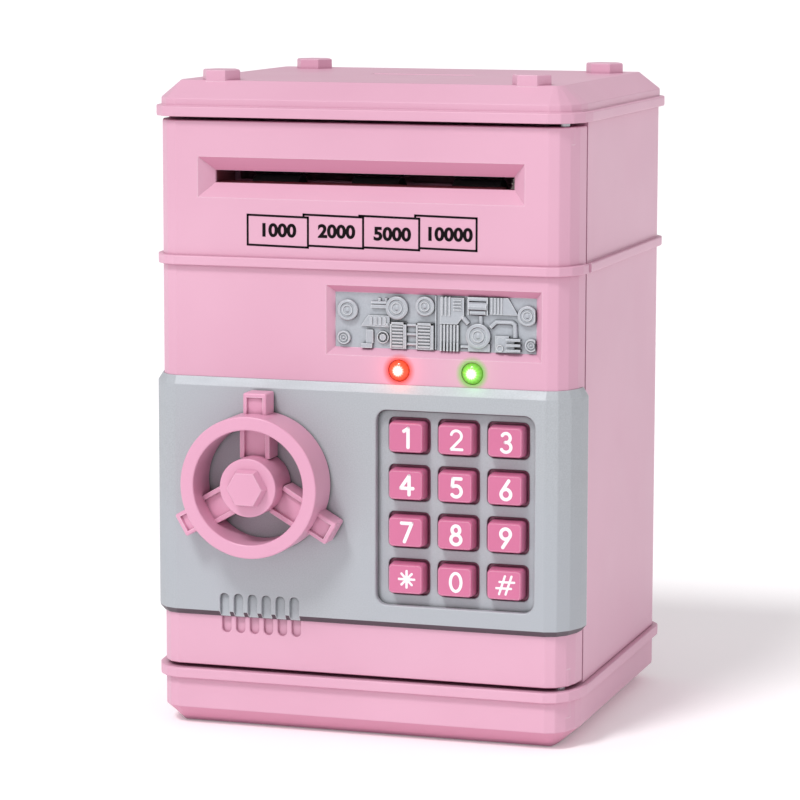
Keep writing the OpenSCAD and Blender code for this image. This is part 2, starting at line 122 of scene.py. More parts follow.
def front_path(g, back):
    """The outline's front part, from the right side at depth back round to the left side."""
    x = HW + g
    rx, ry = max(FRONT_RX + g, 0.6), max(FRONT_RY + g, 0.6)
    right = corner((x, YF - g), rx, ry, 1, -1, -90)[::-1]
    left = corner((-x, YF - g), rx, ry, -1, -1, 180)[::-1]
    return fillet([(x, back)] + right + left + [(-x, back)], 1.2, 2, closed=False)


def rounded_rect(cx, cz, w, h, r, steps=8):
    """A rectangle in X and Z with round corners."""
    points = []
    for sx, sz, start in ((1, 1, 0), (-1, 1, 90), (-1, -1, 180), (1, -1, 270)):
        for i in range(steps + 1):
            a = math.radians(start + 90 * i / steps)
            points.append((cx + sx * (w / 2 - r) + r * math.cos(a), cz + sz * (h / 2 - r) + r * math.sin(a)))
    return points


def circle(cx, cz, r, n=64):
    """A circle in X and Z."""
    step = 2 * math.pi / n
    return [(cx + r * math.cos(step * i), cz + r * math.sin(step * i)) for i in range(n)]


def stadium(cx, z0, z1, w, n=12):
    """An upright slot with round ends."""
    points = []
    for centre, start in ((z1 - w / 2, 0), (z0 + w / 2, 180)):
        for i in range(n + 1):
            a = math.radians(start + 180 * i / n)
            points.append((cx + w / 2 * math.cos(a), centre + w / 2 * math.sin(a)))
    return points


def hexagon(r, soft):
    """A hexagon round the origin, its corners r from the middle and rounded by soft."""
    sixths = [math.radians(60 * k) for k in range(6)]
    return fillet([(r * math.cos(a), r * math.sin(a)) for a in sixths], soft, 2)


def grow(outline, centre, d):
    """Moves each point of an outline away from its centre by d along X and Z."""

    def away(value, middle):
        return value if value == middle else value + math.copysign(d, value - middle)

    return [(away(x, centre[0]), away(z, centre[1])) for x, z in outline]


# --- Solids, in millimetres ---
def place(name, data):
    """A new object in the scene for a mesh, a curve, a light or a camera."""
    obj = bpy.data.objects.new(name, data)
    bpy.context.scene.collection.objects.link(obj)
    return obj


def solid(name, verts, faces):
    """A closed mesh with its faces turned outwards."""
    mesh = bpy.data.meshes.new(name)
    mesh.from_pydata([tuple(v) for v in verts], [], faces)
    bm = bmesh.new()
    bm.from_mesh(mesh)
    bmesh.ops.remove_doubles(bm, verts=bm.verts, dist=1e-5)
    bmesh.ops.recalc_face_normals(bm, faces=bm.faces)
    if bm.calc_volume(signed=True) < 0:
        bmesh.ops.reverse_faces(bm, faces=bm.faces)
    bm.to_mesh(mesh)
    bm.free()
    return place(name, mesh)


def solid_from_curve(name, curve):
    """Turns a curve or a text into a mesh object."""
    holder = place(name, curve)
    bpy.context.view_layer.update()
    seen = holder.evaluated_get(bpy.context.evaluated_depsgraph_get())
    mesh = bpy.data.meshes.new_from_object(seen)
    bpy.data.objects.remove(holder)
    return place(name, mesh)


def loft(name, rings, cap=True, closed=False):
    """A skin over rings that all have the same number of points."""
    n = len(rings[0])
    verts = [p for ring in rings for p in ring]
    faces = []
    count = len(rings)
    for i in range(count if closed else count - 1):
        a, b = i * n, ((i + 1) % count) * n
        for j in range(n):
            k = (j + 1) % n
            faces.append((a + j, a + k, b + k, b + j))
    if cap and not closed:
        faces.append(tuple(range(n))[::-1])
        faces.append(tuple(range((count - 1) * n, count * n)))
    return solid(name, verts, faces)


def stack(name, profile):
    """The case's outline lofted through (growth, height) steps."""
    return loft(name, [[(x, y, z) for x, y in plan(g)] for g, z in profile])


def sweep_front(name, section, back):
    """A closed (growth, height) section swept round the front of the case, and cut off at depth back."""
    paths = [front_path(g, back + 12) for g, z in section]
    rings = [[(*paths[j][i], section[j][1]) for j in range(len(section))] for i in range(len(paths[0]))]
    return carve(loft(name, rings), box("end", -90, 90, back, back + 40, 0, 200))


def slab_y(name, rings):
    """A stack of (outline in X and Z, depth y) rings."""
    return loft(name, [[(x, y, z) for x, z in outline] for outline, y in rings])


def lathe(name, profile, centre, n=96, closed=False):
    """A (radius, y) profile turned about the Y axis through centre."""
    rings = []
    for i in range(n):
        a = 2 * math.pi * i / n
        rings.append([(centre[0] + r * math.cos(a), y, centre[1] + r * math.sin(a)) for r, y in profile])
    return loft(name, rings, cap=False, closed=True) if closed else turned(name, rings)


def turned(name, rings):
    """Joins the turned rings all round; the profile's ends lie on the axis."""
    m, n = len(rings), len(rings[0])
    verts = [p for ring in rings for p in ring]
    faces = []
    for i in range(m):
        a, b = i * n, ((i + 1) % m) * n
        faces += [(a + j, a + j + 1, b + j + 1, b + j) for j in range(n - 1)]
    return solid(name, verts, faces)


def box(name, x0, x1, y0, y1, z0, z1, bevel=0.0, steps=2):
    """A box, with rounded edges where bevel is given."""
    obj = solid(name, [(x, y, z) for z in (z0, z1) for y in (y0, y1) for x in (x0, x1)], BOX_FACES)
    if bevel:
        soften(obj, bevel, steps)
    return obj


def soften(obj, width, steps=2, angle=25):
    """Rounds the sharp edges of a simple solid."""
    bm = bmesh.new()
    bm.from_mesh(obj.data)
    limit = math.radians(angle)
    edges = [e for e in bm.edges if len(e.link_faces) == 2 and e.calc_face_angle() > limit]
    bmesh.ops.bevel(bm, geom=edges, offset=width, segments=steps, profile=0.5,
                    affect="EDGES", clamp_overlap=True)
    bm.to_mesh(obj.data)
    bm.free()
    return obj


def carve(obj, *cutters, operation="DIFFERENCE"):
    """Applies boolean cutters to a solid and removes them."""
    for cutter in cutters:
        modifier = obj.modifiers.new("carve", "BOOLEAN")
        modifier.operation, modifier.object, modifier.solver = operation, cutter, "EXACT"
    settle(obj)
    for cutter in cutters:
        bpy.data.objects.remove(cutter)
    return obj


def settle(obj):
    """Applies a piece's modifiers to its mesh."""
    bpy.context.view_layer.update()
    seen = obj.evaluated_get(bpy.context.evaluated_depsgraph_get())
    mesh = bpy.data.meshes.new_from_object(seen)
    obj.modifiers.clear()
    obj.data = mesh


def merge(name, *objects):
    """One object from several."""
    bm = bmesh.new()
    for obj in objects:
        bm.from_mesh(obj.data)
        bpy.data.objects.remove(obj)
    mesh = bpy.data.meshes.new(name)
    bm.to_mesh(mesh)
    bm.free()
    return place(name, mesh)


def piece(obj, name, body, slot, material, *nodes, sharp=35):
    """Finishes a piece: metres, smooth shading, material, body and the CAD nodes it stands for."""
    obj.name = name
    obj.data.name = name
    obj.data.transform(Matrix.Scale(MM, 4))
    obj.data.shade_smooth()
    obj.data.set_sharp_from_angle(angle=math.radians(sharp))
    weighted = obj.modifiers.new("weighted", "WEIGHTED_NORMAL")
    weighted.keep_sharp = True
    weighted.weight = 80
    obj.data.materials.clear()
    obj.data.materials.append(material)
    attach(obj, body)
    if nodes:
        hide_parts(*nodes)
    return obj


def chamfered_hole(name, outline, centre, y_face, y_back, lip):
    """A cutter for a hole through a face, with a rounded lip."""
    return slab_y(name, [
        (grow(outline, centre, lip), y_face - 2),
        (grow(outline, centre, lip), y_face - 0.001),
        (grow(outline, centre, lip * 0.4), y_face + lip * 0.25),
        (grow(outline, centre, lip * 0.1), y_face + lip * 0.6),
        (outline, y_face + lip),
        (outline, y_back),
    ])


# --- Materials ---
def linear(rgb):
    """An sRGB colour out of 255, as linear light."""
    parts = [value / 255 for value in rgb]
    return tuple(c / 12.92 if c <= 0.04045 else ((c + 0.055) / 1.055) ** 2.4 for c in parts)


class Nodes:
    """A material's node tree, with short ways to add what the materials share."""

    def __init__(self, name):
        self.material = bpy.data.materials.new(name)
        self.material.use_nodes = True
        self.tree = self.material.node_tree
        self.shader = self.tree.nodes["Principled BSDF"]
        coordinates = self.add("ShaderNodeTexCoord")
        self.place = coordinates.outputs["Object"]
        self.facing = coordinates.outputs["Normal"]

    def add(self, kind, **values):
        """A new node, with its inputs or its settings given by name."""
        node = self.tree.nodes.new(kind)
        for key, value in values.items():
            if key in node.inputs:
                node.inputs[key].default_value = value
            else:
                setattr(node, key, value)
        return node

    def link(self, a, b):
        self.tree.links.new(a, b)

    def noise(self, scale, detail=2.0, rough=0.5, stretch=None):
        """Noise over the piece, finer with a larger scale."""
        node = self.add("ShaderNodeTexNoise", Scale=scale, Detail=detail, Roughness=rough)
        source = self.place
        if stretch:
            mapping = self.add("ShaderNodeMapping")
            mapping.inputs["Scale"].default_value = stretch
            self.link(source, mapping.inputs["Vector"])
            source = mapping.outputs["Vector"]
        self.link(source, node.inputs["Vector"])
        return node.outputs["Fac"]

    def spread(self, source, low, high, start=0.3, end=0.7):
        """Maps start to end onto low to high."""
        node = self.add("ShaderNodeMapRange")
        for key, value in (("From Min", start), ("From Max", end), ("To Min", low), ("To Max", high)):
            node.inputs[key].default_value = value
        self.link(source, node.inputs["Value"])
        return node.outputs["Result"]

    def mix(self, factor, a, b, kind="MIX"):
        """From colour a to colour b as factor rises; each is a value or a socket."""
        node = self.add("ShaderNodeMix", data_type="RGBA", blend_type=kind)
        for socket, value in ((node.inputs[0], factor), (node.inputs[6], a), (node.inputs[7], b)):
            if isinstance(value, bpy.types.NodeSocket):
                self.link(value, socket)
            else:
                socket.default_value = value if isinstance(value, float) else (*value[:3], 1)
        return node.outputs[2]

    def bump(self, source, strength, distance, normal=None):
        """Raises the surface by source, on top of an earlier bump where one is given."""
        node = self.add("ShaderNodeBump", Strength=strength, Distance=distance)
        self.link(source, node.inputs["Height"])
        if normal:
            self.link(normal, node.inputs["Normal"])
        return node.outputs["Normal"]

    def under(self, colour, tint):
        """Paints shade into the colour of faces that look down, darker the more they face the floor."""
        parts = self.add("ShaderNodeSeparateXYZ")
        self.link(self.facing, parts.inputs[0])
        return self.mix(self.spread(parts.outputs["Z"], 1.0, 0.0, -0.68, -0.3), colour, tint)

    def edges(self, colour, tint, amount, occlusion):
        """Paints highlights onto thin outer edges, lightening the rounded rims as if they caught the light.
        """
        bevel = self.add("ShaderNodeBevel", Radius=0.00045)
        bevel.samples = 6
        dot = self.add("ShaderNodeVectorMath", operation="DOT_PRODUCT")
        self.link(bevel.outputs["Normal"], dot.inputs[0])
        self.link(self.add("ShaderNodeNewGeometry").outputs["Normal"], dot.inputs[1])
        painted_highlight_mask = self.spread(dot.outputs["Value"], amount, 0.0, 0.82, 0.985)
        outer = self.add("ShaderNodeMath", operation="MULTIPLY")
        self.link(painted_highlight_mask, outer.inputs[0])
        self.link(self.spread(occlusion, 0.0, 1.0, 0.72, 0.92), outer.inputs[1])
        return self.mix(outer.outputs[0], colour, tint)

    def painted_lamp_glow(self, colour, centre, rgb):
        """Paints the lamp's light onto the plastic round it, as a coloured pool."""
        flat = self.add("ShaderNodeVectorMath", operation="MULTIPLY")
        self.link(self.place, flat.inputs[0])
        flat.inputs[1].default_value = (1, 0, 1)
        gap = self.add("ShaderNodeVectorMath", operation="DISTANCE")
        self.link(flat.outputs["Vector"], gap.inputs[0])
        gap.inputs[1].default_value = (centre[0] * MM, 0, centre[1] * MM)
        return self.mix(self.spread(gap.outputs["Value"], 0.9, 0.0, 0.0031, 0.0049), colour, linear(rgb))


def moulded(name, rgb, rough=(0.3, 0.4), grain=0.05, crevice_shade=0.55, reach=0.0022, under=None, edge=0.0,
            painted_lamp_glows=(), shine=0.5):
    """Moulded plastic: slow colour drift, specks, fine moulding texture, painted shade in crevices, and where
    asked painted shade on downward faces, painted edge highlights and painted lamp glow.
    """
    n = Nodes(name)
    base = linear(rgb)
    light = tuple(min(1, c * 1.05 + 0.004) for c in base)
    deep = tuple(c * f for c, f in zip(base, (0.97, 0.93, 0.95)))
    colour = n.mix(n.spread(n.noise(14, 3), 0.0, 1.0), deep, light)
    specks = n.spread(n.noise(420, 2, 0.6), 0.0, 0.1, 0.68, 0.8)
    colour = n.mix(specks, colour, tuple(c * 0.93 for c in base))
    ao = n.add("ShaderNodeAmbientOcclusion", Distance=reach)
    ao.samples = 12
    # Painted shade for crevices and recesses: this colour is mixed in where ambient occlusion finds them.
    shade = tuple(c * f for c, f in zip(base, (crevice_shade, crevice_shade * 0.72, crevice_shade * 0.85)))
    # Painted lamp glow round each lamp.
    for centre, glow in painted_lamp_glows:
        colour = n.painted_lamp_glow(colour, centre, glow)
    # Painted shade on faces that look down.
    if under:
        colour = n.under(colour, tuple(c * f for c, f in zip(base, under)))
    colour = n.mix(n.spread(ao.outputs["AO"], 0.0, 1.0, 0.15, 0.75), shade, colour)
    # Painted highlights on thin outer edges.
    if edge:
        colour = n.edges(colour, tuple(0.35 * c + 0.62 for c in base), edge, ao.outputs["AO"])
    n.link(colour, n.shader.inputs["Base Color"])
    n.link(n.spread(n.noise(30, 2), rough[0], rough[1]), n.shader.inputs["Roughness"])
    normal = n.bump(n.noise(1500, 2), grain, 0.0001)
    normal = n.bump(n.noise(45, 2), 0.03, 0.0006, normal)
    n.link(normal, n.shader.inputs["Normal"])
    n.shader.inputs["Specular IOR Level"].default_value = shine
    return n.material


def painted_silver(name, rgb, rough=(0.46, 0.56), crevice_shade=0.35, reach=0.003):
    """Silver paint over plastic: fine flake, faint flow marks, painted shade in crevices and on downward
    faces, and painted edge highlights.
    """
    n = Nodes(name)
    base = linear(rgb)
    flake = n.spread(n.noise(2600, 1), 0.0, 1.0, 0.35, 0.65)
    colour = n.mix(flake, tuple(c * 0.93 for c in base), tuple(min(1, c * 1.05) for c in base))
    drift = n.spread(n.noise(16, 2), 0.0, 1.0)
    colour = n.mix(drift, colour, tuple(c * f for c, f in zip(base, (0.98, 0.99, 1.02))))
    ao = n.add("ShaderNodeAmbientOcclusion", Distance=reach)
    ao.samples = 12
    # Painted shade on faces that look down, then painted shade in crevices where ambient occlusion finds
    # them.
    colour = n.under(colour, tuple(c * f for c, f in zip(base, (0.16, 0.1, 0.125))))
    colour = n.mix(n.spread(ao.outputs["AO"], 0.0, 1.0, 0.15, 0.7), tuple(c * crevice_shade for c in base), colour)
    # Painted highlights on thin outer edges.
    colour = n.edges(colour, (0.93, 0.94, 0.95), 0.85, ao.outputs["AO"])
    n.link(colour, n.shader.inputs["Base Color"])
    n.link(n.spread(n.noise(60, 4, 0.6, (1, 1, 4)), rough[0], rough[1]), n.shader.inputs["Roughness"])
    normal = n.bump(n.noise(2200, 2), 0.06, 0.00008)
    n.link(normal, n.shader.inputs["Normal"])
    n.shader.inputs["Metallic"].default_value = 0.12
    return n.material


def steel(name, rgb=(190, 192, 196), rough=(0.22, 0.38)):
    """Plated steel with fine drawn lines and dull patches."""
    n = Nodes(name)
    base = linear(rgb)
    colour = n.mix(n.spread(n.noise(90, 3), 0.0, 1.0), tuple(c * 0.82 for c in base), base)
    n.link(colour, n.shader.inputs["Base Color"])
    lines = n.noise(260, 3, 0.6, (1, 12, 12))
    n.link(n.spread(lines, rough[0], rough[1]), n.shader.inputs["Roughness"])
    n.link(n.bump(lines, 0.08, 0.0001), n.shader.inputs["Normal"])
    n.shader.inputs["Metallic"].default_value = 1.0
    return n.material


def lamp(name, rgb, centre):
    """A lit lens: white in the middle, its own colour outside, with a rayed edge between them."""
    n = Nodes(name)
    base = linear(rgb)
    parts = n.add("ShaderNodeSeparateXYZ")
    n.link(n.place, parts.inputs[0])

    def math_node(operation, a, b=0.0):
        node = n.add("ShaderNodeMath", operation=operation)
        for socket, value in zip(node.inputs, (a, b)):
            if isinstance(value, bpy.types.NodeSocket):
                n.link(value, socket)
            else:
                socket.default_value = value
        return node.outputs[0]

    dx = math_node("SUBTRACT", parts.outputs["X"], centre[0] * MM)
    dz = math_node("SUBTRACT", parts.outputs["Z"], centre[1] * MM)
    squares = math_node("ADD", math_node("MULTIPLY", dx, dx), math_node("MULTIPLY", dz, dz))
    distance = math_node("SQRT", squares)
    rays = math_node("SINE", math_node("MULTIPLY", math_node("ARCTAN2", dz, dx), 14.0))
    uneven = math_node("ADD", distance, math_node("MULTIPLY", rays, 0.00012))
    core = n.spread(uneven, 1.0, 0.0, 0.0006, 0.00175)
    edge = n.spread(uneven, 0.0, 1.0, 0.0018, 0.0031)
    lit = n.mix(edge, base, tuple(c * 0.45 for c in base))
    colour = n.mix(core, lit, (1.0, 0.97, 0.9))
    n.link(n.mix(n.spread(n.noise(900, 2), 0.0, 0.25), colour, base), n.shader.inputs["Base Color"])
    n.link(colour, n.shader.inputs["Emission Color"])
    n.shader.inputs["Emission Strength"].default_value = 0.95
    n.link(n.spread(n.noise(300, 2), 0.12, 0.22), n.shader.inputs["Roughness"])
    n.link(n.bump(n.noise(700, 1), 0.1, 0.0001), n.shader.inputs["Normal"])
    return n.material


# Lamp centres and the colours of the painted glow round them on the door.
LAMPS = (((LED_XS[0], LED_Z), (226, 66, 40)), ((LED_XS[1], LED_Z), (112, 184, 66)))
# Painted shade for faces that look down, and painted edge highlights, on the pink case parts.
PINK_UNDERSIDE_SHADE = (0.93, 0.7, 0.78)
PINK_LOOK = dict(rgb=(214, 166, 187), rough=(0.3, 0.36), under=PINK_UNDERSIDE_SHADE, edge=0.85, shine=0.25)
PINK = moulded("pink_plastic", **PINK_LOOK)
# The door's pink, with painted lamp glow round the two lamps.
DOOR_PINK = moulded("door_plastic", painted_lamp_glows=LAMPS, **PINK_LOOK)
PINK_INNER = moulded("pink_inner", (218, 148, 180), rough=(0.45, 0.6), grain=0.12)
# The wheel and keys carry painted crevice shade and painted edge highlights too.
WHEEL_PINK = moulded("wheel_plastic", (217, 160, 186), (0.3, 0.37), crevice_shade=0.4, edge=0.85)
KEY_PINK = moulded("key_plastic", (202, 110, 148), (0.3, 0.36), crevice_shade=0.3, edge=0.8)
# Painted shade in the silvers' crevices: the plate's darkens the gap round the wheel, and the relief's is
# much darker still, standing for the shadows between its parts.
SILVER = painted_silver("silver_paint", (173, 178, 182), crevice_shade=0.2, reach=0.0022)
SILVER_RELIEF = painted_silver("silver_relief", (172, 177, 183), (0.36, 0.48), crevice_shade=0.06, reach=0.003)
INK = moulded("black_ink", (12, 5, 9), rough=(0.6, 0.7), crevice_shade=1.0, shine=0.1)
WHITE_INK = moulded("white_ink", (246, 240, 243), rough=(0.4, 0.5), crevice_shade=0.95, shine=0.2)
STEEL = steel("plated_steel")
RUBBER = moulded("rubber", (44, 43, 46), rough=(0.6, 0.75), grain=0.3)
BLACK = moulded("black_plastic", (42, 42, 45), rough=(0.45, 0.6), grain=0.15)
MECHANISM = moulded("mechanism_plastic", (178, 96, 112), rough=(0.45, 0.6), grain=0.12)
BOARD = moulded("solder_mask", (24, 96, 58), rough=(0.25, 0.4), grain=0.08)
CELL = moulded("cell_wrap", (52, 54, 62), rough=(0.25, 0.35))
ACETAL = moulded("acetal", (232, 230, 222), rough=(0.35, 0.5))

# --- Carried-over CAD nodes ---
NODE_MATERIALS = {
    STEEL: ("hinge_pins", "case_screws", "lid_screws", "battery_screw", "battery_contacts", "cover_screws",
            "solenoid", "knob_shaft", "shaft_clip", "latch_arm", "arm_nut", "lock_plunger", "feed_shaft",
            "pinch_shaft", "feed_motor"),
    SILVER_RELIEF: ("lock_disc",),
    RUBBER: ("key_membrane", "feed_rollers", "pinch_rollers"),
    BOARD: ("keypad_board", "control_board"),
    BLACK: ("speaker",),
    MECHANISM: ("feeder_frame",),
    CELL: ("batteries",),
    ACETAL: ("feed_gear", "motor_pinion"),
}
for material, names in NODE_MATERIALS.items():
    for node_name in names:
        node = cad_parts[node_name]
        if not node.data.materials:
            node.data.materials.append(None)
        for material_slot in node.material_slots:
            material_slot.link = "OBJECT"
            material_slot.material = material

# --- Case ---
def rounded_profile(points, radii, steps=3):
    """A (growth, height) profile with rounded corners and free ends."""
    return fillet(points, radii, steps, closed=False)


base_profile = rounded_profile(
    [(-10, 0), (-6, 0), (0, 5.1), (0, 13.9), (1.7, 14.0), (1.7, 17.0), (-4, 17.0)],
    [0, 0.6, 0.8, 0.25, 0.45, 0.5, 0], 3)
base = stack("base", base_profile)
inner = stack("inner", [(-8, 2), (-8, 5.1), (-WALL, 5.2), (-WALL, 15.0), (-WALL, 15.001)])
rear = box("rear", -FAR, FAR, SHELL_FRONT, FAR, 14.9, 18)
mouth = carve(stack("mouth", [(-WALL, 14.9), (-WALL, 18)]), rear, operation="INTERSECT")
cutters = [inner, mouth, box("well", -29, 29, -23, 23, -1, 3), box("tab", -5.3, 5.3, 22.9, 30.3, -1, 3)]


def rod_z(name, x, y, z0, z1, r, n=48):
    """A round rod along Z."""
    turns = [2 * math.pi * i / n for i in range(n)]
    return loft(name, [[(x + r * math.cos(a), y + r * math.sin(a), z) for a in turns] for z in (z0, z1)])


def ring_z(name, x, y, z0, z1, outer, inner_r, n=48):
    """A tube along Z with softened rims."""
    c = 0.2
    profile = [(inner_r, z0 + c), (inner_r + c, z0), (outer - c, z0), (outer, z0 + c),
               (outer, z1 - c), (outer - c, z1), (inner_r + c, z1), (inner_r, z1 - c)]
    rings = []
    for i in range(n):
        a = 2 * math.pi * i / n
        rings.append([(x + r * math.cos(a), y + r * math.sin(a), z) for r, z in profile])
    return loft(name, rings, cap=False, closed=True)


cutters += [rod_z("hole", x, y, -1, 3, HEAD_R) for x, y in CASE_SCREWS]
cutters.append(rod_z("pin", *HINGE, BASE_TOP - 6, BASE_TOP + 1, PIN_R))
base = carve(base, *cutters)
posts = [ring_z("post", x, y, 1.9, BASE_TOP - 0.02, 4, HEAD_R) for x, y in CASE_SCREWS]
posts.append(ring_z("post", *HINGE, BASE_TOP - 8, BASE_TOP - 1.9, 3.2, PIN_R))
posts.append(ring_z("post", *BATTERY_SCREW, 2, 12, 3.2, PILOT_R))
wall_box = carve(box("walls", -31, 31, -25, 25, 1.9, BASE_TOP, 0.3), box("room", -29, 29, -23, 23, 0, 20))
piece(merge("base_moulding", base, wall_box, *posts), "base_moulding", "case", "pink_shell", PINK, "base")

shell_profile = rounded_profile(
    [(-6, BASE_TOP), (0, BASE_TOP), (0, BELT_LOW), (BELT_OUT, BELT_LOW), (BELT_OUT, BELT_HIGH),
     (0, BELT_HIGH), (0, LID_BOTTOM), (-6, LID_BOTTOM)],
    [0, 0.25, 0.25, 0.35, 0.45, 0.25, 0.25, 0], 3)
shell = stack("shell", shell_profile)
hollow = stack("hollow", [(-WALL, BASE_TOP + 2), (-WALL, LID_BOTTOM - 2)])
front = box("front", -90, 90, -90, SHELL_FRONT, 0, 200)
holes = [box("coins", -25, 25, -8, 28, LID_BOTTOM - 3, LID_BOTTOM + 1)]
holes += [rod_z("hole", x, y, LID_BOTTOM - 3, LID_BOTTOM + 1, CLEARANCE_R) for x, y in LID_SCREWS]
holes += [rod_z("hole", x, y, BASE_TOP - 1, BASE_TOP + 3, PILOT_R) for x, y in CASE_SCREWS]
shell = carve(shell, hollow, front, *holes)
keeper = box("keeper", -60.6, -55.3, SHELL_FRONT, -33.6, WHEEL[1] - 8, WHEEL[1] + 8, 0.3)
posts = [ring_z("post", x, y, BASE_TOP + 1.9, BASE_TOP + 8, 3, PILOT_R) for x, y in CASE_SCREWS]
shell = merge("shell_moulding", shell, keeper, *posts)
piece(shell, "shell_moulding", "case", "pink_shell", PINK, "body_shell")

lid_profile = rounded_profile(
    [(-8, LID_BOTTOM), (1.8, LID_BOTTOM), (1.8, 179.8), (0.3, 179.9), (0.3, 182.0), (-6, 187.0), (-9, 187.0)],
    [0, 0.3, 0.5, 0.25, 0.4, 0.5, 0], 3)
lid = stack("lid", lid_profile)
under = stack("under", [(-WALL - 6, LID_BOTTOM - 1), (-WALL - 6, 184.6)])
under = carve(under, box("keep", -FAR, FAR, -FAR, SHELL_FRONT + 2, 170, 190),
              *[rod_z("boss", x, y, 170, 190, 3.2) for x, y in LID_SCREWS])
coin = loft("coin", [[(x * w / 2, 10 + y * d / 2, z) for x, y in ((-1, -1), (1, -1), (1, 1), (-1, 1))]
                     for w, d, z in ((30, 3.6, 170), (30, 3.6, 186.3), (31.4, 5, 187.001), (31.4, 5, 190))])
pilots = [rod_z("pilot", x, y, LID_BOTTOM - 1, LID_BOTTOM + 6, PILOT_R) for x, y in LID_SCREWS]
lid = carve(lid, under, coin, *pilots, rod_z("pin", *HINGE, LID_BOTTOM - 1, LID_BOTTOM + 6, PIN_R))
bosses = []
for x in (-46, 46):
    for y in (-40, 40):
        rings = []
        shift = 1.25 if y < 0 else 2.0
        for r, z in ((5.7, 186.4), (5.7, 187.2), (5.65, 189.5), (5.5, 189.85), (5.15, 190.0)):
            rings.append([(x + shift + px, y + py, z) for px, py in hexagon(r, 0.3)])
        bosses.append(loft("boss", rings))
piece(merge("lid_moulding", lid, *bosses), "lid_moulding", "case", "pink_shell", PINK, "top_lid")

# Battery cover, with finger ridges
cover = box("cover", -28.7, 28.7, -22.7, 22.7, 0, 1.8, 0.3)
tab = box("tab", -5, 5, 22.2, 30, 0.01, 1.79, 0.3)
cuts = [box("ridge", x - 0.6, x + 0.6, -20, -12, -1, 0.6) for x in range(-12, 13, 4)]
tab = carve(tab, rod_z("hole", *BATTERY_SCREW, -1, 3, CLEARANCE_R),
            rod_z("sink", *BATTERY_SCREW, -1, 0.9, 2.4))
cover = carve(cover, *cuts)
piece(merge("battery_lid", cover, tab), "battery_lid", "case", "pink_shell", PINK, "battery_cover")

# --- Door ---
tray_profile = rounded_profile(
    [(-6, DOOR_BOTTOM), (0, DOOR_BOTTOM), (0, DOOR_TOP), (-6, DOOR_TOP)], [0, 0.6, 0.7, 0], 3)
door = stack("door", tray_profile)
bay = stack("bay", [(-WALL, DOOR_BOTTOM + WALL), (-WALL, DOOR_TOP - WALL)])
seam = [(-FAR, FAR), (-FAR, DOOR_BACK - 1), (-64.1, DOOR_BACK - 1), (-61.5, DOOR_BACK),
        (61.5, DOOR_BACK), (64.1, DOOR_BACK - 1), (FAR, DOOR_BACK - 1), (FAR, FAR)]
behind = loft("behind", [[(x, y, z) for x, y in seam] for z in (0, 200)])
door = carve(door, bay, behind)


def funnel(name, centre, w, h, inset, y0, y1, deep):
    """A mitred rectangular opening: wide at the face, smaller by inset at y1, then straight to deep."""
    rings = []
    for grow_by, y in ((inset + 0.001, y0 - 2), (inset + 0.001, y0 - 0.001), (0, y1), (0, deep)):
        rings.append([(centre[0] + sx * (w / 2 + grow_by), y, centre[1] + sz * (h / 2 + grow_by))
                      for sx, sz in ((-1, -1), (1, -1), (1, 1), (-1, 1))])
    return loft(name, rings)


note_block = box("note_block", -52, 52, YF + 1, YF + 5, SLOT_Z - 8.5, SLOT_Z + 8.5, 0.3)
door = carve(door, note_block, operation="UNION")
cutters = [
    funnel("slot", (0, SLOT_Z), 88.6, 3.6, 4.0, YF, YF + 3.9, YF + 7),
    funnel("window", WINDOW, 59.0, 15.6, 2.1, YF, YF + 2.15, YF + 4),
    slab_y("pad", [(rounded_rect(*PAD, 48.4, 57.8, 3.5), y) for y in (YF - 2, YF + 4)]),
    slab_y("wheel", [(circle(*WHEEL, 3.06), y) for y in (YF - 2, YF + 9)]),
]
cutters += [chamfered_hole("led", circle(x, LED_Z, 3.12, 48), (x, LED_Z), YF, YF + 5, 0.25) for x in LED_XS]
cutters += [chamfered_hole("groove", stadium(x, 28.0, 38.0, GROOVE_W), (x, 33.0), YF, YF + 1.2, 0.3)
            for x in GROOVE_XS]
cutters += [rod_z("pin_bore", *HINGE, z, z + 7, 1.6) for z in (DOOR_BOTTOM - 1, DOOR_TOP - 6)]
door = carve(door, *cutters)
post = [(1.1, -39.2), (1.3, -39), (2.8, -39), (3, -39.2), (3, YF + 1.5), (1.1, YF + 1.5)]
boss = [(3.06, YF + 5.8), (3.3, YF + 6), (5.8, YF + 6), (6, YF + 5.8), (6, YF + 1.5), (3.06, YF + 1.5)]
bits = [lathe("post", post, at, 40, closed=True) for at in COVER_SCREWS]
bits.append(lathe("boss", boss, WHEEL, 64, closed=True))
for z in (DOOR_BOTTOM + 0.05, DOOR_TOP - 5.05):
    bits.append(ring_z("knuckle", *HINGE, z, z + 5, 3.1, PIN_BORE_R))
door = merge("door_moulding", door, *bits)
piece(door, "door_moulding", "door", "pink_shell", DOOR_PINK, "door_panel", sharp=28)

belt_section = fillet([(-0.6, BELT_LOW), (BELT_OUT, BELT_LOW), (BELT_OUT, BELT_HIGH), (-0.6, BELT_HIGH)],
                      [0.1, 0.35, 0.45, 0.1], 3)
piece(sweep_front("belt", belt_section, DOOR_BACK - 2), "door_belt", "door", "pink_shell", PINK)

# Printed number boxes, thin frames and figures just out of the face: figure, left, right, bottom, top, level
FIGURES = (("1000", -33.5, -14.8, 140.6, 149.7, 145.0), ("2000", -16.7, 1.6, 140.85, 150.2, 145.15),
           ("5000", -0.1, 18.1, 140.85, 150.3, 144.9), ("10000", 16.3, 34.8, 141.15, 150.85, 145.3))


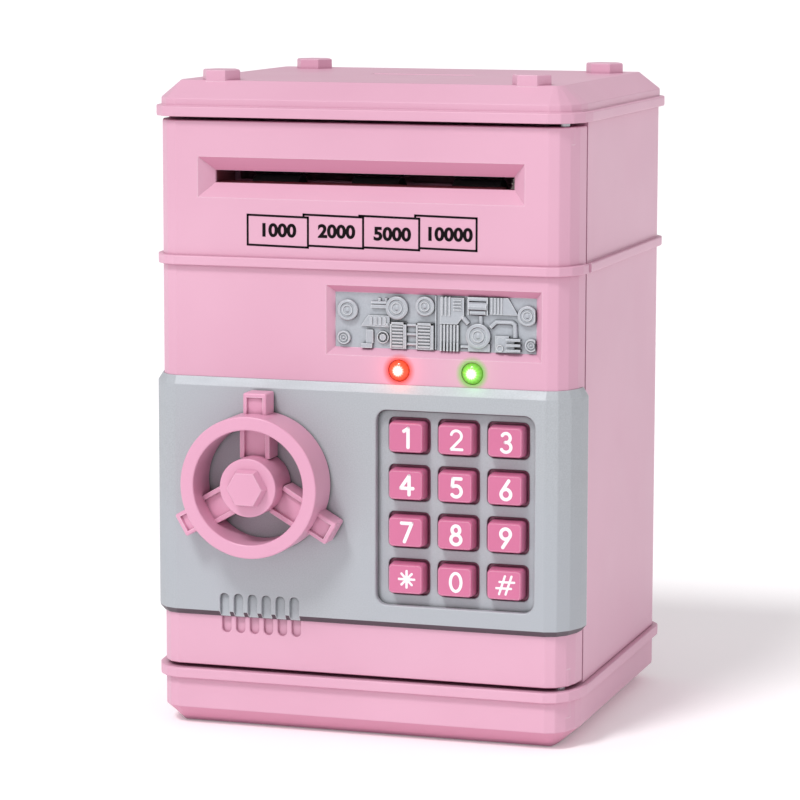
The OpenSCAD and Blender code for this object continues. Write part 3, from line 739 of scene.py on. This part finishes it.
def text_mesh(name, body, size, x, z, y, bold=0.0, depth=PRINT_PROUD):
    """A figure standing on a face that looks along -Y, centred on (x, z)."""
    curve = bpy.data.curves.new(name, "FONT")
    curve.body, curve.size, curve.offset, curve.extrude = body, size, bold, depth
    curve.align_x, curve.align_y = "CENTER", "CENTER"
    curve.resolution_u = 6
    obj = solid_from_curve(name, curve)
    upright = Matrix.Rotation(math.radians(90), 4, "X")
    obj.data.transform(Matrix.Translation((x, y, z)) @ upright @ Matrix.Diagonal((1.08, 1, 1, 1)))
    return obj


def frame_print(x0, x1, z0, z1, drop, clip=None):
    """A thin printed rectangle whose right end sits lower by drop; clip leaves out what lies left of it."""
    left = x0 if clip is None else clip
    spans = [(left, x1, z1 - PRINT_LINE, z1), (left, x1, z0, z0 + PRINT_LINE),
             (x1 - PRINT_LINE, x1, z0, z1)]
    if clip is None:
        spans.append((x0, x0 + PRINT_LINE, z0, z1))
    else:
        spans += [(x0, x0 + PRINT_LINE, z1 - 0.9, z1), (x0, clip, z1 - PRINT_LINE, z1)]
    bars = []
    for a, b, low, high in spans:
        corners = [(x, y, z - drop * (x - x0) / (x1 - x0))
                   for z in (low, high) for y in (YF - PRINT_PROUD, YF + 0.2) for x in (a, b)]
        bars.append(solid("bar", corners, BOX_FACES))
    return bars


prints = []
previous = None
for label, x0, x1, z0, z1, level in FIGURES:
    prints += frame_print(x0, x1, z0, z1, 0.35, previous)
    middle = (x0 + x1) / 2 if previous is None else (previous + x1) / 2
    prints.append(text_mesh("figure", label, 5.1, middle, level, YF, 0.2))
    previous = x1
piece(merge("number_print", *prints), "number_print", "door", "pink_shell", INK)

# --- Fascia ---
section = fillet([(0.02, 32.9), (0.3, 32.9), (1.8, 34.6), (1.8, 100.2), (0.3, 102.6), (0.02, 102.6)],
                 [0.1, 0.2, 0.45, 0.45, 0.2, 0.1], 3)
fascia = sweep_front("fascia", section, -38.9)
cutters = [
    chamfered_hole("pad", rounded_rect(*PAD, 46.4, 55.8, 3.2), PAD, FASCIA_Y, YF + 2, 0.55),
    slab_y("wheel", [(circle(*WHEEL, 3.9), y) for y in (FASCIA_Y - 2, YF + 2)]),
]
fascia = carve(fascia, *cutters)
fascia = carve(fascia, *[chamfered_hole("groove", stadium(x, 28.0, 39.8, GROOVE_W), (x, 33.9), FASCIA_Y,
                                        FASCIA_Y + 1.35, 0.3) for x in GROOVE_XS])


def key_place(column, row):
    """A key's middle in X and Z."""
    return (14.9 + 14.5 * column, 88.05 - 13.5 * row)


tray = slab_y("tray", [(rounded_rect(*PAD, 47.6, 57.0, 3.4), y) for y in (YF + 0.8, YF + 1.9)])
tray = carve(tray, *[chamfered_hole("well", rounded_rect(*key_place(c, r), 12.2, 10.3, 1.7), key_place(c, r),
                                    YF + 0.8, YF + 4, 0.35) for c in range(3) for r in range(4)])
fascia = merge("silver_fascia_panel", fascia, tray)
piece(fascia, "silver_fascia_panel", "door", "silver_plate", SILVER, "silver_fascia")

# --- Keys ---
def arc(cx, cy, rx, ry, start, end, n=14):
    """Part of an oval, from one angle to another in degrees."""
    angles = [math.radians(start + (end - start) * i / n) for i in range(n + 1)]
    return [(cx + rx * math.cos(a), cy + ry * math.sin(a)) for a in angles]


# Strokes in a cell 0.62 wide and 1 high, centred on the origin
GLYPHS = {
    "key_1": [[(-0.16, 0.33), (0.06, 0.48), (0.06, -0.48)]],
    "key_2": [arc(0.0, 0.21, 0.27, 0.27, 165, -35) + [(-0.28, -0.47), (0.3, -0.47)]],
    "key_3": [arc(-0.01, 0.24, 0.22, 0.23, 150, -90) + [(-0.06, 0.01)],
              [(-0.06, 0.01)] + arc(-0.01, -0.23, 0.26, 0.25, 90, -150)],
    "key_4": [[(0.12, -0.48), (0.12, 0.48), (-0.32, -0.16), (0.32, -0.16)]],
    "key_5": [[(0.25, 0.46), (-0.16, 0.46), (-0.2, 0.06)] + arc(0.0, -0.18, 0.27, 0.28, 118, -140)],
    "key_6": [[(0.14, 0.48), (-0.18, -0.02)] + arc(0.0, -0.2, 0.25, 0.26, 150, 510, 24)],
    "key_7": [[(-0.27, 0.46), (0.27, 0.46), (-0.12, -0.48)]],
    "key_8": [arc(0, 0.25, 0.2, 0.22, -90, 270, 24), arc(0, -0.23, 0.26, 0.25, 90, 450, 24)],
    "key_9": [[(-0.14, -0.48), (0.18, 0.02)] + arc(0.0, 0.2, 0.25, 0.26, -30, 330, 24)],
    "key_star": [[(0, 0.42), (0, -0.42)], [(0.4, 0), (-0.4, 0)],
                 [(0.27, 0.28), (-0.27, -0.28)], [(-0.27, 0.28), (0.27, -0.28)]],
    "key_0": [arc(0, 0, 0.28, 0.46, 90, 450, 32)],
    "key_hash": [[(-0.02, 0.46), (-0.32, -0.46)], [(0.32, 0.46), (0.02, -0.46)],
                 [(-0.3, 0.16), (0.46, 0.16)], [(-0.46, -0.16), (0.3, -0.16)]],
}


def split_at_corners(points):
    """Cuts a stroke where it turns sharply, so that each part keeps its full width."""
    parts, run = [], [points[0]]
    for i in range(1, len(points)):
        run.append(points[i])
        if i < len(points) - 1:
            a = Vector(points[i]) - Vector(points[i - 1])
            b = Vector(points[i + 1]) - Vector(points[i])
            if a.angle(b) > 0.6:
                parts.append(run)
                run = [points[i]]
    return parts + [run]


def stroke_mesh(name, strokes, size, x, z, y, r, depth=0.12):
    """Painted strokes with round ends, standing depth out of a face that looks along -Y."""
    curve = bpy.data.curves.new(name, "CURVE")
    curve.dimensions = "3D"
    curve.bevel_depth, curve.bevel_resolution, curve.use_fill_caps = r, 3, True
    strokes = [part for points in strokes for part in split_at_corners(points)]
    for points in strokes:
        spline = curve.splines.new("POLY")
        spline.points.add(len(points) - 1)
        for target, (px, pz) in zip(spline.points, points):
            target.co = (px * size, 0, pz * size, 1)
    dot = [(0.0001, -r), (r * 0.6, -r * 0.8), (r * 0.9, -r * 0.4), (r, 0), (r * 0.9, r * 0.4), (0.0001, r)]
    flat = solid_from_curve(name, curve)
    ends = [lathe("dot", dot, (px * size, pz * size), 20)
            for points in strokes for px, pz in (points[0], points[-1])]
    whole = merge(name, flat, *ends)
    whole.data.transform(Matrix.Translation((x, y, z)) @ Matrix.Diagonal((1, depth / r, 1, 1)))
    return whole


KEY_Y = -53.65
GLYPH_SIZE, GLYPH_R = 5.6, 0.52
# Finer strokes, for the marks that need them
STROKES = {"key_star": 0.36, "key_hash": 0.34, "key_0": 0.46, "key_2": 0.42, "key_3": 0.48}
NAMES = [f"key_{mark}" for mark in (*range(1, 10), "star", 0, "hash")]
# Width, height, corner radius and place in Y, from a key's flange to its face
KEY_STEPS = ((13.1, 11.2, 1.2, -47.2), (13.1, 11.2, 1.2, -48.2), (10.7, 9.0, 1.3, -48.2),
             (10.1, 8.45, 1.2, -53.05), (9.98, 8.33, 1.2, -53.25), (9.5, 7.85, 1.0, -53.6),
             (9.35, 7.7, 0.9, KEY_Y))
for i, name in enumerate(NAMES):
    at = key_place(i % 3, i // 3)
    cap = slab_y(name, [(rounded_rect(*at, w, h, r, 6), y) for w, h, r, y in KEY_STEPS])
    piece(cap, name + "_cap", name, "key_pink", KEY_PINK, name, sharp=24)
    mark = stroke_mesh("mark", GLYPHS[name], GLYPH_SIZE, at[0] + 0.4, at[1], KEY_Y,
                       STROKES.get(name, GLYPH_R))
    piece(mark, name + "_mark", name, "key_pink", WHITE_INK)

# --- Wheel ---
def soft_ring(outer, inner_r, y0, y1, c=0.5):
    """A ring's section, with rounded front edges."""
    return fillet([(inner_r, y1), (inner_r, y0), (outer, y0), (outer, y1)], [0.2, c, c, 0.3], 4)


ring = lathe("ring", soft_ring(20.35, 16.4, RING_Y, WHEEL_Y, 0.55), WHEEL, 128, closed=True)
hub_section = fillet([(0.001, RING_Y), (8.4, RING_Y), (8.4, WHEEL_Y), (3.02, WHEEL_Y), (3.02, RING_Y + 3),
                      (0.001, RING_Y + 3)], [0, 0.5, 0.3, 0.1, 0.1, 0], 4, closed=False)
hub = lathe("hub", hub_section, WHEEL, 96)
SPOKE_FRONT = WHEEL_Y - 7.1
arms = []
for angle in (90, 210, 330):
    turn = Matrix.Translation((WHEEL[0], 0, WHEEL[1])) @ Matrix.Rotation(math.radians(-angle), 4, "Y")
    # An arm: a channel with raised edges, from the hub into the ring
    rim, half, floor = 1.4, 4.5, SPOKE_FRONT + 1.3
    channel = [(-half, WHEEL_Y), (-half, SPOKE_FRONT), (-half + rim, SPOKE_FRONT), (-half + rim, floor),
               (half - rim, floor), (half - rim, SPOKE_FRONT), (half, SPOKE_FRONT), (half, WHEEL_Y)]
    channel = fillet(channel, [0.1, 0.3, 0.25, 0.2, 0.2, 0.25, 0.3, 0.1], 2)
    arm = loft("arm", [[(r, y, z) for z, y in channel] for r in (7.6, 17.2)])
    # A tab: a block outside the ring with a sunk panel that is open towards the ring
    block = box("block", 18.6, 26.2, SPOKE_FRONT, WHEEL_Y, -3.5, 3.5, 0.55, 3)
    panel = loft("panel", [[(x, y, z) for x, z in ((18.0, -2.3 - d), (24.9 + d, -2.3 - d),
                                                    (24.9 + d, 2.3 + d), (18.0, 2.3 + d))]
                           for y, d in ((SPOKE_FRONT + 0.9, -0.15), (SPOKE_FRONT, 0.1),
                                        (SPOKE_FRONT - 1, 0.1))])
    block = carve(block, panel)
    for part in (arm, block):
        part.data.transform(turn)
        arms.append(part)
piece(merge("dial_wheel", ring, hub, *arms), "dial_wheel", "wheel", "wheel_pink", WHEEL_PINK, "handwheel")

CAP_STEPS = ((6.05, RING_Y + 0.3), (6.05, RING_Y), (5.98, RING_Y - 0.12), (5.3, RING_Y - 2.72),
             (5.15, RING_Y - 2.86), (4.95, RING_Y - 2.9))
rings = [([(WHEEL[0] + px, WHEEL[1] + pz) for px, pz in hexagon(r, 0.25)], y) for r, y in CAP_STEPS]
piece(slab_y("cap", rings), "hex_cap", "wheel", "wheel_pink", WHEEL_PINK, "hub_cap", sharp=26)

# --- Window relief: a moulded plate of toy machinery ---
RY = YF + 2.2
SHIFT = (0.7, 0.8)
relief = []


def ridge(x0, x1, z0, z1, height, bevel=0.14):
    """A raised block on the plate."""
    dx, dz = SHIFT
    relief.append(box("block", x0 + dx, x1 + dx, RY - height, RY + 0.3, z0 + dz, z1 + dz, bevel, 2))


def disc(x, z, r, height=1.1):
    """Concentric stepped rings round a small cap."""
    f = RY - height
    steps = ((0.12, -0.14), (0.2, 0), (0.24, 0.12), (0.36, 0.14), (0.4, -0.08), (0.5, -0.1), (0.55, 0.2),
             (0.68, 0.22), (0.74, -0.06), (0.92, -0.06), (1, 0.12))
    profile = [(0.0001, f - 0.15)] + [(r * share, f + sunk) for share, sunk in steps]
    profile += [(r, RY + 0.3), (0.0001, RY + 0.3)]
    relief.append(lathe("disc", profile, (x + SHIFT[0], z + SHIFT[1]), 48))


def tube(points, r):
    """A bent pipe lying on the plate."""
    curve = bpy.data.curves.new("tube", "CURVE")
    curve.dimensions = "3D"
    curve.bevel_depth, curve.bevel_resolution, curve.use_fill_caps = r, 3, True
    spline = curve.splines.new("POLY")
    spline.points.add(len(points) - 1)
    for target, (x, z) in zip(spline.points, points):
        target.co = (x + SHIFT[0], RY - r * 0.4, z + SHIFT[1], 1)
    relief.append(solid_from_curve("tube", curve))


def slanted(points, height):
    """A raised plate with a polygon outline."""
    points = [(x + SHIFT[0], z + SHIFT[1]) for x, z in points]
    relief.append(soften(slab_y("plate", [(points, RY + 0.3), (points, RY - height)]), 0.14))


plate = slab_y("plate", [(rounded_rect(*WINDOW, 62.0, 18.4, 0.5), y) for y in (RY, RY + 1.2)])
relief.append(plate)
# Left part
disc(-4.4, 122.3, 3.0, 1.3)
disc(-5.6, 114.4, 2.0, 1.0)
disc(10.2, 123.4, 3.25, 1.4)
disc(18.4, 124.1, 2.8, 1.1)
ridge(2.4, 7.2, 123.1, 124.1, 0.9)
tube([(2.6, 124.6), (7.0, 124.6)], 0.55)
tube([(4.9, 125.0), (4.9, 126.0)], 0.5)
tube([(6.9, 125.0), (6.9, 126.0)], 0.5)
slanted([(-0.6, 117.9), (8.0, 117.7), (8.0, 121.1), (1.6, 121.1)], 0.7)
for k in range(4):
    ridge(2.2 + 1.35 * k, 2.9 + 1.35 * k, 118.4, 120.6, 1.0, 0.08)
ridge(0.9, 3.2, 113.0, 117.0, 0.9, 0.3)
ridge(-0.3, 2.9, 111.4, 113.1, 1.2, 0.2)
dish = [(0.0001, RY - 0.7), (0.9, RY - 0.7), (1.0, RY - 0.1), (1.35, RY - 0.15), (1.5, RY - 0.7),
        (1.75, RY - 0.65), (1.8, RY + 0.3), (0.0001, RY + 0.3)]
relief.append(lathe("dish", dish, (6.65, 115.7), 40))
ridge(6.6, 7.6, 118.0, 119.0, 1.0)
for x0, x1 in ((8.2, 13.0), (15.9, 21.0)):
    ridge(x0, x1, 111.4, 119.4, 0.8)
    ridge(x0, x0 + 0.5, 112.0, 119.4, 1.15, 0.08)
    ridge(x1 - 0.9, x1, 112.0, 119.4, 1.15, 0.08)
    ridge(x0, x1, 118.7, 119.4, 1.15, 0.08)
    for k in range(7):
        ridge(x0 + 0.6, x1 - 1.0, 112.4 + 0.93 * k, 112.9 + 0.93 * k, 1.2, 0.1)
for z in (113.2, 116.0, 118.6):
    tube([(12.8, z), (16.1, z)], 0.5)
ridge(21.2, 21.7, 112.0, 128.0, 0.5)
# Right part
slanted([(22.8, 119.3), (27.9, 119.3), (29.9, 121.9), (29.9, 126.9), (22.8, 126.9)], 1.0)
for k in range(3):
    ridge(23.3 + 1.1 * k, 23.8 + 1.1 * k, 121.8, 127.1, 1.35, 0.08)
for k in range(4):
    ridge(26.8, 29.2, 123.3 + 0.9 * k, 123.7 + 0.9 * k, 1.3, 0.08)
ridge(22.9, 28.3, 111.4, 119.2, 0.55)
for k in range(6):
    ridge(22.9 + 0.98 * k, 23.4 + 0.98 * k, 112.2, 119.2, 1.0, 0.08)
    ridge(22.9 + 0.98 * k, 23.45 + 0.98 * k, 111.4, 114.2, 1.3, 0.1)
tube([(31.2, 126.7), (36.6, 126.7)], 0.9)
tube([(31.2, 124.6), (36.6, 124.6)], 1.3)
tube([(31.6, 122.9), (36.2, 122.9)], 0.9)
ridge(30.9, 31.4, 122.2, 127.4, 1.1, 0.1)
ridge(36.4, 36.9, 122.2, 127.4, 1.1, 0.1)
slanted([(37.2, 122.4), (45.6, 122.4), (42.6, 127.6), (37.2, 127.6)], 0.7)
for k in range(4):
    ridge(37.7 + 0.95 * k, 38.2 + 0.95 * k, 122.6, 127.5, 1.0, 0.08)
tube([(29.2, 121.6), (31.0, 119.6)], 0.75)
tube([(34.6, 121.9), (34.7, 119.6)], 0.6)
disc(34.1, 116.3, 3.5, 1.5)
ridge(31.0, 37.4, 111.9, 114.2, 0.8)
tube([(28.9, 113.1), (31.0, 113.1)], 0.55)
tube([(37.6, 118.9), (39.2, 120.4), (43.8, 120.4), (44.6, 119.8), (44.7, 116.2)], 0.75)
ridge(38.9, 43.0, 111.9, 116.6, 0.9)
ridge(39.6, 44.6, 111.9, 116.0, 1.1, 0.2)
eye = [(0.0001, RY - 1.3), (0.6, RY - 1.3), (0.75, RY - 1.5), (1.0, RY - 1.5), (1.1, RY + 0.2),
       (0.0001, RY + 0.2)]
relief.append(lathe("eye", eye, (41.2, 113.9), 32))
for k in range(3):
    ridge(42.2, 46.4, 112.2 + 1.5 * k, 113.0 + 1.5 * k, 1.7, 0.2)
disc(48.3, 122.4, 2.85, 1.2)
disc(49.4, 114.2, 1.9, 1.0)
# Nothing moulded on the plate reaches past the window's opening
for shape in relief[1:]:
    for vertex in shape.data.vertices:
        vertex.co.x = min(max(vertex.co.x, WINDOW[0] - 29.4), WINDOW[0] + 29.4)
        vertex.co.z = min(max(vertex.co.z, WINDOW[1] - 7.7), WINDOW[1] + 7.7)
piece(merge("window_relief", *relief), "window_relief", "door", "silver_plate", SILVER_RELIEF, "relief_plate")

# --- Lamps ---
for name, x, rgb, glow, power in (("led_red", LED_XS[0], (230, 74, 44), (1.0, 0.06, 0.02), 0.0012),
                                  ("led_green", LED_XS[1], (112, 182, 62), (0.1, 1.0, 0.04), 0.0004)):
    profile = [(0.0001, YF - 1.3), (0.7, YF - 1.25), (1.4, YF - 1.08), (2.1, YF - 0.75), (2.7, YF - 0.25),
               (3.0, YF + 0.2), (3.08, YF + 0.7), (3.08, YF + 3), (3.5, YF + 3), (3.5, YF + 4),
               (0.0001, YF + 4)]
    lens = lathe(name, profile, (x, LED_Z), 64)
    dome = piece(lens, name + "_lens", "door", "red_lens" if name == "led_red" else "green_lens",
                 lamp(name + "_glow", rgb, (x, LED_Z)), name)
    data = bpy.data.lights.new(name + "_light", "POINT")
    data.energy, data.color, data.shadow_soft_size = power, glow, 0.001
    light = place(name + "_light", data)
    light.location = (x * MM, (YF - 2.0) * MM, LED_Z * MM)
    light.parent = dome

# --- Inside the door ---
cover = box("inner", -59.7, 59.3, DOOR_BACK - 2, DOOR_BACK, 26, 169, 0.4)
bulge = box("bulge", -50, 50, DOOR_BACK - 0.5, -22.4, 134, 171, 1.2, 3)
cover = carve(cover, bulge, operation="UNION")
cuts = [box("room", -48.4, 48.4, -41, -24, 135.6, 169.4),
        funnel("exit", (0, SLOT_Z), 90, 4.8, 0.0, -30, -29, -20),
        slab_y("shaft", [(circle(*WHEEL, 3.8), y) for y in (-41, -35)])]
cuts += [slab_y("screw", [(circle(x, z, CLEARANCE_R, 32), y) for y in (-41, -35)]) for x, z in COVER_SCREWS]
cuts += [box("vent", x - 0.7, x + 0.7, -41, -35, 31, 45) for x in (-38.5 + 3 * k for k in range(7))]
cover = carve(cover, *cuts)
piece(cover, "inner_cover_moulding", "door", "pink_shell", PINK_INNER, "inner_cover")

# --- Floor, light and camera ---
floor = Nodes("floor")
tone = floor.mix(floor.spread(floor.noise(3, 2), 0.0, 1.0), (0.93, 0.93, 0.935), (0.95, 0.95, 0.955))
floor.link(tone, floor.shader.inputs["Base Color"])
floor.shader.inputs["Roughness"].default_value = 0.7
floor.shader.inputs["Emission Color"].default_value = (1, 1, 1, 1)
floor.shader.inputs["Emission Strength"].default_value = 0.14
bpy.ops.mesh.primitive_plane_add(size=60, location=(0, 2.0, -0.0002))
ground = bpy.context.object
ground.name = "studio_floor"
ground.data.materials.append(floor.material)

world = bpy.data.worlds.new("studio")
world.use_nodes = True
world.node_tree.nodes["Background"].inputs["Color"].default_value = (1.0, 0.96, 0.975, 1)
world.node_tree.nodes["Background"].inputs["Strength"].default_value = 0.6
bpy.context.scene.world = world


def sun(name, location, target, size, energy):
    """A distant light, size across in radians, shining from location towards target."""
    data = bpy.data.lights.new(name, "SUN")
    data.energy, data.angle = energy, size
    obj = place(name, data)
    obj.location = location
    obj.rotation_euler = (Vector(target) - Vector(location)).to_track_quat("-Z", "Y").to_euler()


sun("key", (-0.3, -0.85, 1.3), (0, 0, 0.12), 0.25, 1.7)
sun("fill", (0.0, -1.0, 0.2), (0, 0, 0.12), 1.2, 0.5)

camera_data = bpy.data.cameras.new("camera")
camera_data.lens, camera_data.sensor_width = 153.34, 36
camera = place("camera", camera_data)
camera.location = (0.2975, -0.9584, 0.2328)
camera.rotation_euler = (math.radians(81.953), math.radians(-0.109), math.radians(17.457))
bpy.context.scene.camera = camera
bpy.context.scene.view_settings.view_transform = "Standard"
